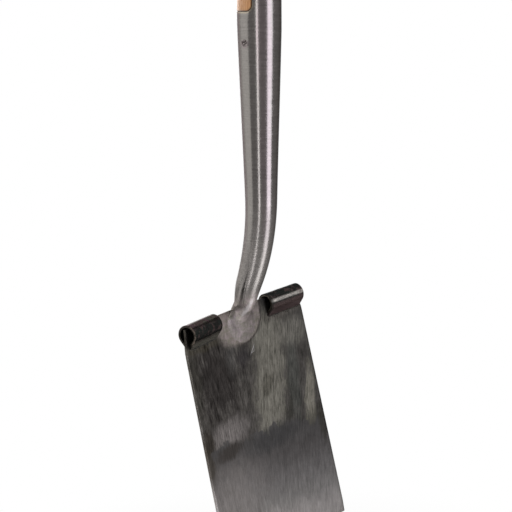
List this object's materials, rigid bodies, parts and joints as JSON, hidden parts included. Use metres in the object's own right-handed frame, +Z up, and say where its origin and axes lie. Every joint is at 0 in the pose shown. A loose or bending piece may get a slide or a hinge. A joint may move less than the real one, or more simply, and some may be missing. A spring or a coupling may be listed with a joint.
{
  "type": "garden spade",
  "caption": "Treaded digging spade: dished steel blade with rolled treads, cranked strapped socket and ash shaft split into a grip with a turned crossbar.",
  "frame": {"origin": "middle of the blade's cutting edge", "axes": "+Z up along the shaft, -Y the spade's front, +X to the right of someone who looks at the front"},
  "size_m": [0.195, 0.0731, 1.0305],
  "materials": {
    "blade_steel": "ground bare steel, dark with oil, streaked along the blade",
    "tread_steel": "black mill scale on rolled strip",
    "socket_steel": "linished bare steel",
    "rivet_steel": "plain steel, hammered and ground",
    "ash": "sanded and oiled ash"
  },
  "bodies": {
    "root": {"blade": "blade_steel", "tread_left": "tread_steel", "tread_right": "tread_steel", "socket_front": "socket_steel", "socket_back": "socket_steel", "shaft": "ash", "grip_bar": "ash", "grip_rod": "rivet_steel", "grip_washer_left": "rivet_steel", "grip_washer_right": "rivet_steel", "crotch_rivet": "rivet_steel", "crotch_burr_left": "rivet_steel", "crotch_burr_right": "rivet_steel", "socket_rivet": "rivet_steel", "strap_rivet_lower": "rivet_steel", "strap_rivet_upper": "rivet_steel", "strap_burr_lower": "rivet_steel", "strap_burr_upper": "rivet_steel"}
  },
  "joints": []
}
